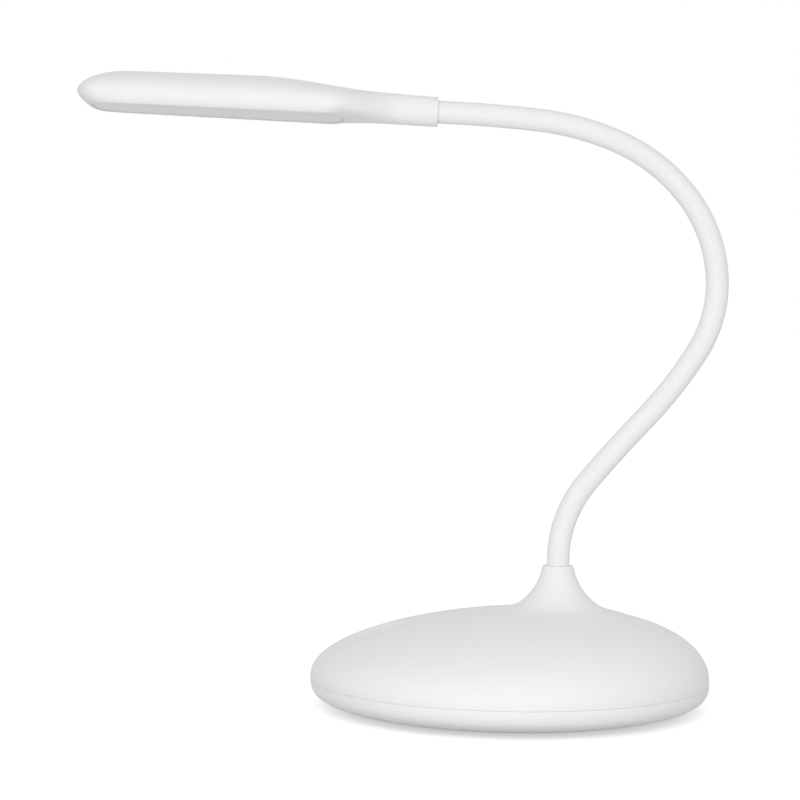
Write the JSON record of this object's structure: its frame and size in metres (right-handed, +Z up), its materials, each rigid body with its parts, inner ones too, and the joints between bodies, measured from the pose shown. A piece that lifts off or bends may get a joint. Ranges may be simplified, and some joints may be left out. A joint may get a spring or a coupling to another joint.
{
  "type": "gooseneck desk lamp",
  "caption": "White desk lamp with a weighted pebble base, a flexible S-curved gooseneck and a flat paddle head with a diffuser underneath.",
  "frame": {"origin": "centre of the base on the surface that the lamp stands on", "axes": "+Z up; -X towards the head and the touch dimple; +X towards the charging inlet; the picture's camera looks along +Y"},
  "size_m": [0.2775, 0.17, 0.2696],
  "materials": {
    "shell_white": "fine satin moulded plastic",
    "lower_white": "fine satin moulded plastic",
    "sleeve_white": "matt silicone sleeve",
    "pad_gray": "matt rubber",
    "diffuser_white": "opal diffusing plastic",
    "steel": "zinc plated",
    "ballast_steel": "plain steel",
    "core_steel": "wound steel",
    "spreader_alu": "bare rolled",
    "cradle_white": "moulded",
    "cell_blue": "shrink sleeve",
    "board_green": "solder resist",
    "light_board_white": "white solder resist",
    "component_black": "moulded",
    "inlet_steel": "nickel plated",
    "copper": "bare copper foil",
    "foam_gray": "open cell foam",
    "reflector_white": "white film",
    "chip_yellow": "phosphor",
    "wire_red": "insulated wire"
  },
  "bodies": {
    "base": {"base_upper_shell": "shell_white", "base_lower_shell": "lower_white", "non_slip_pad": "pad_gray", "ballast_plate": "ballast_steel", "case_screws": "steel", "battery_cradle": "cradle_white", "battery_cell": "cell_blue", "control_board": "board_green", "board_parts": "component_black", "charging_inlet": "inlet_steel", "inlet_contacts": "component_black", "board_screws": "steel", "touch_electrode": "copper", "electrode_foam": "foam_gray", "neck_nut": "steel", "neck_washer": "steel", "lower_ferrule": "steel", "neck_sleeve_0": "sleeve_white", "neck_core_0": "core_steel", "feed_wires_0": "wire_red"},
    "link_1": {"neck_sleeve_1": "sleeve_white", "neck_core_1": "core_steel", "feed_wires_1": "wire_red"},
    "link_2": {"neck_sleeve_2": "sleeve_white", "neck_core_2": "core_steel", "feed_wires_2": "wire_red"},
    "link_3": {"neck_sleeve_3": "sleeve_white", "neck_core_3": "core_steel", "feed_wires_3": "wire_red"},
    "link_4": {"neck_sleeve_4": "sleeve_white", "neck_core_4": "core_steel", "feed_wires_4": "wire_red"},
    "link_5": {"neck_sleeve_5": "sleeve_white", "neck_core_5": "core_steel", "feed_wires_5": "wire_red"},
    "link_6": {"neck_sleeve_6": "sleeve_white", "neck_core_6": "core_steel", "feed_wires_6": "wire_red"},
    "link_7": {"neck_sleeve_7": "sleeve_white", "neck_core_7": "core_steel", "feed_wires_7": "wire_red"},
    "link_8": {"neck_sleeve_8": "sleeve_white", "neck_core_8": "core_steel", "feed_wires_8": "wire_red"},
    "head": {"head_housing": "shell_white", "diffuser": "diffuser_white", "reflector_sheet": "reflector_white", "light_board": "light_board_white", "light_chips": "chip_yellow", "heat_spreader": "spreader_alu", "light_board_screws": "steel", "upper_ferrule": "steel", "ferrule_clip": "steel", "neck_sleeve_9": "sleeve_white", "neck_core_9": "core_steel", "feed_wires_9": "wire_red"}
  },
  "joints": [
    {"name": "lower_bend", "type": "hinge", "parent": "base", "child": "link_1", "pos_m": [0.0204, 0, 0.0639], "axis": [0, 1, 0], "range_deg": [-12, 12]},
    {"name": "lower_swing", "type": "hinge", "parent": "link_1", "child": "link_2", "pos_m": [0.03245, 0, 0.09727], "axis": [0.7694, 0, -0.6388], "range_deg": [-15, 15]},
    {"name": "lower_bend_2", "type": "hinge", "parent": "link_2", "child": "link_3", "pos_m": [0.05641, 0, 0.1244], "axis": [0, 1, 0], "range_deg": [-12, 12]},
    {"name": "lower_swing_2", "type": "hinge", "parent": "link_3", "child": "link_4", "pos_m": [0.07843, 0, 0.15305], "axis": [0.849, 0, -0.5284], "range_deg": [-15, 15]},
    {"name": "upper_bend", "type": "hinge", "parent": "link_4", "child": "link_5", "pos_m": [0.08637, 0, 0.1877], "axis": [0, 1, 0], "range_deg": [-15, 12]},
    {"name": "upper_swing", "type": "hinge", "parent": "link_5", "child": "link_6", "pos_m": [0.07257, 0, 0.22061], "axis": [0.7727, 0, 0.6347], "range_deg": [-15, 15]},
    {"name": "upper_bend_2", "type": "hinge", "parent": "link_6", "child": "link_7", "pos_m": [0.04387, 0, 0.24212], "axis": [0, 1, 0], "range_deg": [-15, 12]},
    {"name": "upper_swing_2", "type": "hinge", "parent": "link_7", "child": "link_8", "pos_m": [0.00895, 0, 0.25111], "axis": [0.1011, 0, 0.9949], "range_deg": [-15, 15]},
    {"name": "upper_bend_3", "type": "hinge", "parent": "link_8", "child": "head", "pos_m": [-0.02715, 0, 0.25367], "axis": [0, 1, 0], "range_deg": [-15, 12]}
  ],
  "couplings": [
    {"joint": "lower_bend_2", "follows": "lower_bend", "ratio": 1},
    {"joint": "lower_swing_2", "follows": "lower_swing", "ratio": 1},
    {"joint": "upper_bend_2", "follows": "upper_bend", "ratio": 1},
    {"joint": "upper_bend_3", "follows": "upper_bend", "ratio": 1},
    {"joint": "upper_swing_2", "follows": "upper_swing", "ratio": 1}
  ]
}
